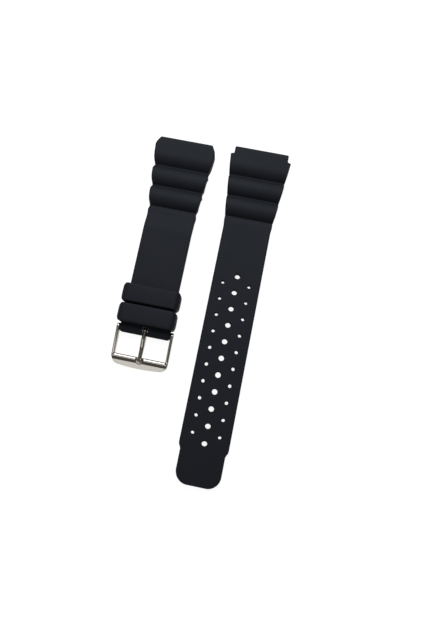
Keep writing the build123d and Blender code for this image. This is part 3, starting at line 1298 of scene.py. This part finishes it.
@dataclass
class PinBuckle:
    """The polished frame and its tongue, in millimetres."""

    bar_y: float = -14.25
    bar_z: float = 2.95
    eye: float = 1.25
    arm: float = 1.05
    half_inner: float = 10.0
    lip: float = 0.9
    lip_z: float = 1.5
    inner_corner: float = 0.45
    plate_depth: float = 4.5
    plate_edge: float = 0.95
    plate_shoulder: float = 1.95
    plate_corner: float = 3.2
    plate_bow: float = 1.0
    edge: float = 0.3
    plate_rim: float = 0.14
    lip_lean: float = 36.0
    crease: float = 0.06
    notch: float = 1.68
    notch_floor: float = 1.15
    plunger_bore: float = 0.4
    tongue_half: float = 0.86
    tongue_neck: float = 0.75
    tongue_waist: float = 0.97
    tongue_tip_z: float = 2.1
    tongue_tip: float = 0.6
    bar_bore: float = 0.8
    bead: float = 1.35
    bead_low: float = 1.2
    bead_high: float = 2.7
    bead_y: float = -25.6
    knee: float = 2.6
    knee_share: float = 0.8
    blend_start: float = 0.15
    blend_run: float = 0.7
    most_rounding: float = 0.49
    weld: float = 0.002
    notch_cutter: float = 10.0
    eye_cutter: float = 30.0
    bar_cutter: float = 6.0
    waist_run: float = 6.5
    blade_rows: int = 60
    blade_end: float = 0.4
    least_eye: float = 0.05
    eye_end: float = 0.002

    def __post_init__(self) -> None:
        """Reads the frame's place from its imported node."""
        low, high = (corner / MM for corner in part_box("buckle_frame"))
        self.centre_x: float = (low.x + high.x) / 2
        self.edge_y: float = low.y
        self.window_y: float = low.y + self.plate_depth
        self.lip_y: float = self.window_y - self.lip

    def outline(self) -> np.ndarray:
        """Gives the right half of the frame's outline, from its eye to the middle of its bowed front.

        Returns:
            Points across and along.
        """
        side = self.half_inner + self.arm
        bow = (side**2 + self.plate_bow**2) / (2 * self.plate_bow)
        bow_y = self.edge_y + bow
        corner_x = side - self.plate_corner
        reach = bow - self.plate_corner
        corner_y = bow_y - math.sqrt(reach**2 - corner_x**2)
        lean = math.asin(corner_x / reach)
        turns = np.linspace(0, math.pi / 2 - lean, 40)
        sweep = np.linspace(lean, 0, 60)
        straight = [(side, y) for y in np.linspace(self.bar_y + self.eye, corner_y, 40)[:-1]]
        radius = self.plate_corner
        corner = [(corner_x + radius * math.cos(t), corner_y - radius * math.sin(t)) for t in turns]
        front = [(bow * math.sin(t), bow_y - bow * math.cos(t)) for t in sweep[1:]]
        return np.array([*straight, *corner, *front])

    def rays(self) -> list[tuple[Point, Point, float]]:
        """Gives lines across the frame's bar, from its eye round the inner corner to the middle.

        Returns:
            Each line's start on the window's edge, its direction, and how far round the corner it lies,
            0 to 1.
        """
        corner_x = self.half_inner - self.inner_corner
        corner_y = self.window_y + self.inner_corner
        eye = [self.bar_y + self.eye * math.cos(math.radians(a)) for a in range(0, 91, 6)]
        lines = [((self.half_inner, y), (1.0, 0.0), 0.0) for y in eye]
        arm = np.linspace(self.bar_y, corner_y, 50)[1:-1]
        lines += [((self.half_inner, y), (1.0, 0.0), 0.0) for y in arm]
        for turn in np.linspace(0, math.pi / 2, 37):
            way = (math.cos(turn), -math.sin(turn))
            start = (corner_x + self.inner_corner * way[0], corner_y + self.inner_corner * way[1])
            lines.append((start, way, turn / (math.pi / 2)))
        lines += [((x, self.window_y), (0.0, -1.0), 1.0) for x in np.linspace(corner_x, 0, 75)[1:]]
        return lines

    def depth(self, start: Point, way: Point, path: np.ndarray) -> float:
        """Gives how far a line runs from the window's edge to the outline.

        Args:
            start: Its start on the window's edge.
            way: Its direction.
            path: The outline.

        Returns:
            The distance.
        """
        side = np.array([-way[1], way[0]])
        offset = path - start
        across = offset @ side
        along = offset @ np.array(way)
        crossing = np.flatnonzero((across[:-1] * across[1:] <= 0) & (along[:-1] > 0))
        i = crossing[0] if len(crossing) else int(np.argmin(np.abs(across)))
        step = across[i] - across[min(i + 1, len(across) - 1)]
        share = across[i] / step if step else 0.0
        return float(along[i] + (along[min(i + 1, len(along) - 1)] - along[i]) * share)

    def arm_heights(self, y: float) -> Point:
        """Gives the arm's heights, those of a hull round its eye and the lip.

        Args:
            y: The place along the arm.

        Returns:
            The lowest and the highest point.
        """
        span = math.hypot(self.lip_y - self.bar_y, self.lip_z - self.bar_z)
        tilt = math.atan2(self.bar_z - self.lip_z, self.bar_y - self.lip_y)
        spread = math.asin((self.eye - self.lip) / span)
        heights = []
        for sign in (-1, 1):
            normal = tilt + sign * (math.pi / 2 + spread)
            way = (math.cos(normal), math.sin(normal))
            eye = (self.bar_y + self.eye * way[0], self.bar_z + self.eye * way[1])
            lip = (self.lip_y + self.lip * way[0], self.lip_z + self.lip * way[1])
            if y >= eye[0]:
                half = math.sqrt(max(self.eye**2 - (y - self.bar_y) ** 2, 0.0))
                heights.append(self.bar_z + sign * half)
            elif y >= lip[0]:
                heights.append(lip[1] + (y - lip[0]) * (eye[1] - lip[1]) / (eye[0] - lip[0]))
            else:
                heights.append(self.front_heights(FAR, y)[(sign + 1) // 2])
        return heights[0], heights[1]

    def front_heights(self, inset: float, y: float) -> Point:
        """Gives the front bar's lowest and highest point.

        Args:
            inset: The distance from the window's edge.
            y: The place along the strap.

        Returns:
            The two heights: the lip is round, and the plate falls away from it.
        """
        if y >= self.lip_y or inset < self.lip:
            half = math.sqrt(max(self.lip**2 - max(self.lip - inset, 0.0) ** 2, 0.0))
            return self.lip_z - half, self.lip_z + half
        share = (self.lip_y - y) / (self.lip_y - self.edge_y)
        plate = self.plate_shoulder + (self.plate_edge - self.plate_shoulder) * share
        reach = self.lip_y - y
        lean = math.radians(self.lip_lean)
        turn = self.lip * math.sin(lean)
        roll = self.lip_z + math.sqrt(self.lip**2 - min(reach, turn) ** 2)
        roll -= max(reach - turn, 0.0) * math.tan(lean)
        gap = abs(roll - plate)
        top = max(roll, plate) + max(self.crease - gap, 0.0) ** 2 / (4 * self.crease)
        foot_run = self.lip_y - self.edge_y - self.plate_depth / 2
        foot = (self.lip_z - self.lip) * max(1 - reach / foot_run, 0)
        return foot, top

    def build_frame(self, finish: bpy.types.Material) -> bpy.types.Object:
        """Builds the frame as a bar that runs round the window, then cuts its notch and eyes.

        Args:
            finish: The metal.

        Returns:
            The piece.
        """
        path = self.outline()
        half: list[list[tuple[float, float, float, float]]] = []
        for start, way, turn in self.rays():
            depth = self.depth(start, way, path)
            blend = min(max((turn - self.blend_start) / self.blend_run, 0.0), 1.0)
            blend = blend * blend * (3 - 2 * blend)
            marks = [0, min(self.knee, self.knee_share * depth), depth]
            row = []
            for share in FRAME_COLUMNS:
                even = 0.5 - 0.5 * math.cos(math.pi * share)
                front = float(np.interp(share, [0, FRAME_SPLIT, 1], marks))
                inset = depth * even + (front - depth * even) * turn
                x, y = start[0] + way[0] * inset, start[1] + way[1] * inset
                pairs = zip(self.arm_heights(y), self.front_heights(inset, y))
                low, high = (arm + (plate - arm) * blend for arm, plate in pairs)
                outside = float(np.hypot(*(path - (x, y)).T).min()) if share < 1 else 0.0
                rim = self.edge + (self.plate_rim - self.edge) * blend
                drop = float(rounded_drop(np.array(outside), rim))
                drop += float(rounded_drop(np.array(inset), self.edge)) * (1 - blend)
                drop = min(drop, (high - low) * self.most_rounding)
                row.append((x, y, low + drop, high - drop))
            half.append(row)
        rows = []
        for sign, source in ((-1, half), (1, half[-2::-1])):
            for row in source:
                upper = [Vector((self.centre_x + sign * x, y, high)) for x, y, _, high in row]
                lower = [Vector((self.centre_x + sign * x, y, low)) for x, y, low, _ in reversed(row)]
                rows.append(upper + lower)
        mesh = rows_to_mesh(rows, closed=False)
        bmesh.ops.remove_doubles(mesh, verts=mesh.verts, dist=self.weld)
        piece = piece_from_mesh(mesh, "buckle_frame_polished")
        height = self.notch_cutter
        notch_centre = Vector((self.centre_x, self.bead_y, self.notch_floor + height / 2))
        bar_centre = Vector((self.centre_x, self.bar_y, self.bar_z))
        tools = [
            cylinder("notch", notch_centre, "Z", self.notch, height, 64),
            cylinder("eyes", bar_centre, "X", self.plunger_bore, self.eye_cutter, 32),
        ]
        boolean(piece, tools, "DIFFERENCE")
        smooth_by_angle(piece, degrees=40)
        piece.data.materials.append(finish)
        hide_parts("buckle_frame")
        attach(piece, "frame")
        log.info("%s: %d faces", piece.name, len(piece.data.polygons))
        return piece

    def build_tongue(self, finish: bpy.types.Material) -> bpy.types.Object:
        """Builds the tongue: an eye round the bar, an oval blade and a round bead.

        Args:
            finish: The metal.

        Returns:
            The piece.
        """
        eye_back = self.bar_y + self.eye
        marks = [self.bar_y + self.eye * math.cos(math.radians(a)) for a in range(0, 91, 9)]
        marks += list(np.linspace(self.bar_y, self.bead_y + self.blade_end, self.blade_rows))[1:]
        places = [self.bead_y, self.window_y + self.waist_run, eye_back]
        widths = [self.tongue_neck, self.tongue_waist, self.tongue_half]
        rows: list[list[Vector]] = []
        for y in marks:
            low, high = self.blade_heights(min(y, eye_back - self.eye_end))
            rows.append(self.blade_row(y, low, high, float(np.interp(y, places, widths))))
        piece = piece_from_mesh(rows_to_mesh(rows, closed=False), "buckle_tongue_polished")
        boolean(piece, [self.bead_dome()], "UNION")
        bar_centre = Vector((self.centre_x, self.bar_y, self.bar_z))
        bar = cylinder("bar", bar_centre, "X", self.bar_bore, self.bar_cutter)
        boolean(piece, [bar], "DIFFERENCE")
        smooth_by_angle(piece, degrees=35)
        piece.data.materials.append(finish)
        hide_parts("buckle_tongue")
        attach(piece, "tongue")
        log.info("%s: %d faces", piece.name, len(piece.data.polygons))
        return piece

    def blade_heights(self, y: float) -> Point:
        """Gives the heights of the eye and the blade.

        Args:
            y: The place along the tongue.

        Returns:
            The lowest and the highest point.
        """
        run = (self.bar_y - y) / (self.bar_y - self.bead_y)
        if run <= 0:
            half = math.sqrt(max(self.eye**2 - (y - self.bar_y) ** 2, self.least_eye))
            return self.bar_z - half, self.bar_z + half
        low = self.bar_z - self.eye + (self.tongue_tip_z - self.tongue_tip - self.bar_z + self.eye) * run
        fall = float(np.interp(run, *BLADE_FALL))
        high = self.bar_z + self.eye + (self.tongue_tip_z + self.tongue_tip - self.bar_z - self.eye) * fall
        return low, high

    def blade_row(self, y: float, low: float, high: float, half: float) -> list[Vector]:
        """Gives the blade's section, an oval.

        Args:
            y: The place along the tongue.
            low: The lowest point.
            high: The highest point.
            half: Half the width.

        Returns:
            The ring of points.
        """
        middle, reach = (low + high) / 2, (high - low) / 2
        turns = [2 * math.pi * i / BLADE_SIDES for i in range(BLADE_SIDES)]
        return [Vector((self.centre_x + half * math.cos(t), y, middle + reach * math.sin(t))) for t in turns]

    def bead_dome(self) -> bpy.types.Object:
        """Makes the round bead at the tongue's tip: straight sides, a bevelled rim and an almost flat top.

        Returns:
            The closed bead.
        """
        turns = [2 * math.pi * i / BEAD_SIDES for i in range(BEAD_SIDES)]
        height = self.bead_high - self.bead_low
        rows = []
        for share, lift in BEAD_PROFILE:
            radius, z = share * self.bead, self.bead_low + lift * height
            ring = [(self.centre_x + radius * math.cos(t), self.bead_y + radius * math.sin(t)) for t in turns]
            rows.append([Vector((x, y, z)) for x, y in ring])
        return piece_from_mesh(rows_to_mesh(rows, closed=False), "bead")


@dataclass(frozen=True)
class SoftLamp:
    """A rectangular lamp that points at the strap, in metres and watts."""

    name: str
    place: Triple
    size: Point
    watts: float
    shade: str

    def hang(self) -> bpy.types.Object:
        """Makes the lamp.

        Returns:
            The lamp.
        """
        data = bpy.data.lights.new(self.name, "AREA")
        data.shape = "RECTANGLE"
        data.size, data.size_y = self.size
        data.energy = self.watts
        data.color = linear(self.shade)[:3]
        lamp = bpy.data.objects.new(self.name, data)
        lamp.location = self.place
        lamp.rotation_euler = (-Vector(self.place)).to_track_quat("-Z", "Y").to_euler()
        bpy.context.scene.collection.objects.link(lamp)
        return lamp


LAMPS = (
    SoftLamp("window_light", (-0.03, 0.32, 0.34), (0.36, 0.18), 0.86, "f8faff"),
    SoftLamp("top_card", (-0.01, 0.12, 0.36), (0.26, 0.08), 0.22, "f8faff"),
    SoftLamp("front_card", (-0.085, -0.2, 0.294), (0.24, 0.17), 0.09, "ffffff"),
)
# The room's grey by height, from level with the table to straight overhead, and its warm tint.
ROOM_STOPS = ((0.0, 1.0), (0.035, 0.3), (0.14, 0.08), (0.6, 0.06), (0.85, 0.07), (0.93, 0.11), (1.0, 0.12))
ROOM_TINT = (1.0, 0.94, 0.86)
WHITE = (1, 1, 1, 1)


@dataclass(frozen=True)
class Studio:
    """The white table, the soft lamps and the camera over the strap."""

    table_size: float = 4.0
    table_gap: float = 0.00003
    table_white: str = "8c8c8c"
    table_glow: float = 0.93
    table_mirrored: float = 0.5
    camera_place: Triple = (0.01513, -0.02749, 0.17492)
    camera_tilt: Triple = (8.284, 0.721, 11.423)
    camera_near: float = 0.005
    focal_px: float = 450.0
    photo_height_px: float = 631.0
    sensor_mm: float = 36.0

    def camera(self) -> bpy.types.Object:
        """Makes the camera at the photograph's place and angle.

        Returns:
            The camera.
        """
        data = bpy.data.cameras.new("camera")
        data.sensor_width = self.sensor_mm
        data.lens = self.sensor_mm * self.focal_px / self.photo_height_px
        data.clip_start = self.camera_near
        camera = bpy.data.objects.new("camera", data)
        camera.location = self.camera_place
        camera.rotation_euler = Euler([math.radians(angle) for angle in self.camera_tilt])
        bpy.context.scene.collection.objects.link(camera)
        bpy.context.scene.camera = camera
        return camera

    def table(self) -> bpy.types.Object:
        """Makes the white table, which glows to the eye so that only the contact shadow stays.

        Returns:
            The table.
        """
        mesh = bmesh.new()
        bmesh.ops.create_grid(mesh, x_segments=1, y_segments=1, size=self.table_size / 2 / MM)
        bmesh.ops.translate(mesh, vec=(0, 0, -self.table_gap / MM), verts=mesh.verts)
        table = piece_from_mesh(mesh, "table")
        material, tree = blank_material("white_table")
        paper = add_node(tree, "ShaderNodeBsdfDiffuse", {"Color": linear(self.table_white)})
        rays = add_node(tree, "ShaderNodeLightPath").outputs
        mirrored = add_node(
            tree,
            "ShaderNodeMath",
            {0: rays["Is Glossy Ray"], 1: self.table_mirrored, 2: rays["Is Transmission Ray"]},
            operation="MULTIPLY_ADD",
        )
        seen = add_node(
            tree, "ShaderNodeMath", {0: rays["Is Camera Ray"], 1: mirrored.outputs[0]}, operation="MAXIMUM"
        )
        strength = add_node(
            tree, "ShaderNodeMath", {0: seen.outputs[0], 1: self.table_glow}, operation="MULTIPLY"
        )
        glow = add_node(tree, "ShaderNodeEmission", {"Color": WHITE, "Strength": strength.outputs[0]})
        both = add_node(tree, "ShaderNodeAddShader", {0: paper.outputs[0], 1: glow.outputs[0]})
        add_node(tree, "ShaderNodeOutputMaterial", {"Surface": both.outputs[0]})
        table.data.materials.append(material)
        return table

    def world(self) -> bpy.types.World:
        """Makes the room: white to the eye, and to light and gloss a dark room with a bright band round it.

        Returns:
            The world.
        """
        world = bpy.data.worlds.new("room")
        world.use_nodes = True
        tree = world.node_tree
        tree.nodes.clear()
        way = add_node(tree, "ShaderNodeTexCoord").outputs["Generated"]
        height = add_node(tree, "ShaderNodeSeparateXYZ", {"Vector": way}).outputs["Z"]
        ramp = add_node(tree, "ShaderNodeValToRGB", {"Fac": height})
        elements = ramp.color_ramp.elements
        while len(elements) < len(ROOM_STOPS):
            elements.new(0.5)
        for element, (position, grey) in zip(elements, ROOM_STOPS):
            element.position = position
            element.color = (*(grey * tint for tint in ROOM_TINT), 1)
        room = add_node(tree, "ShaderNodeBackground", {"Color": ramp.outputs["Color"], "Strength": 1.0})
        white = add_node(tree, "ShaderNodeBackground", {"Color": WHITE, "Strength": 1.0})
        rays = add_node(tree, "ShaderNodeLightPath").outputs
        mix = add_node(
            tree,
            "ShaderNodeMixShader",
            {"Fac": rays["Is Camera Ray"], 1: room.outputs[0], 2: white.outputs[0]},
        )
        add_node(tree, "ShaderNodeOutputWorld", {"Surface": mix.outputs[0]})
        bpy.context.scene.world = world
        return world

    def build(self) -> None:
        """Sets up the table, the room, the lamps and the camera."""
        self.camera()
        self.table()
        self.world()
        for lamp in LAMPS:
            lamp.hang()
        bpy.context.scene.view_settings.view_transform = "Standard"


@dataclass
class SpringBar:
    """The bar that holds the buckle: a tube and two plungers as packed, and a spring in two halves."""

    spring: str = "bar_spring"
    body: str = "buckle_half"
    travel_mm: float = 1.1

    def dress(self, finish: bpy.types.Material) -> None:
        """Gives the tube and the plungers their finish and makes the spring's two halves.

        Args:
            finish: The metal.
        """
        for node in ("bar_tube", "left_plunger", "right_plunger"):
            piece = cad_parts[node]
            piece.data.materials.clear()
            piece.data.materials.append(finish)
        for side, joint in ((-1, "left_plunger_slide"), (1, "right_plunger_slide")):
            self.dress_half(side, finish)

    def dress_half(self, side: int, finish: bpy.types.Material) -> None:
        """Makes one half of the spring, cut from the packed spring at its middle.

        Args:
            side: -1 for the left half, 1 for the right.
            finish: The metal.
        """
        low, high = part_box(self.spring)
        middle = (low + high) / 2
        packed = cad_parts[self.spring]
        turns = bmesh.new()
        turns.from_mesh(packed.data)
        cut = bmesh.ops.bisect_plane(
            turns,
            geom=[*turns.verts, *turns.edges, *turns.faces],
            plane_co=middle,
            plane_no=(side, 0, 0),
            clear_inner=True,
        )
        rims = [edge for edge in cut["geom_cut"] if isinstance(edge, bmesh.types.BMEdge)]
        bmesh.ops.holes_fill(turns, edges=rims)
        bmesh.ops.scale(turns, vec=(1 / MM, 1 / MM, 1 / MM), verts=turns.verts)
        piece = piece_from_mesh(turns, f"{self.spring}_{'right' if side > 0 else 'left'}_half")
        smooth_by_angle(piece)
        piece.data.materials.append(finish)
        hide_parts(self.spring)
        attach(piece, self.body)
        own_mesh(piece)
        log.info("%s: %d faces", piece.name, len(piece.data.polygons))


def main() -> None:
    """Builds every piece in order."""
    logging.basicConfig(level=logging.INFO, format="%(name)s %(message)s")
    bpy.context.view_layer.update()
    finishes = (MouldedRubber(), PolishedSteel(), DrawnSteel())
    rubber, steel, drawn = (finish.material() for finish in finishes)
    TailHalf(name="tail_half_moulding", node="tail_strap", body="tail_half").dress(rubber)
    BuckleHalf(name="buckle_half_moulding", node="buckle_strap", body="buckle_half").dress(rubber)
    Keeper(node="lower_keeper", body="lower_keeper_loop").dress(rubber)
    Keeper(node="upper_keeper", body="upper_keeper_loop").dress(rubber)
    buckle = PinBuckle()
    buckle.build_frame(steel)
    buckle.build_tongue(steel)
    SpringBar().dress(drawn)
    Studio().build()


if __name__ == "__main__":
    main()
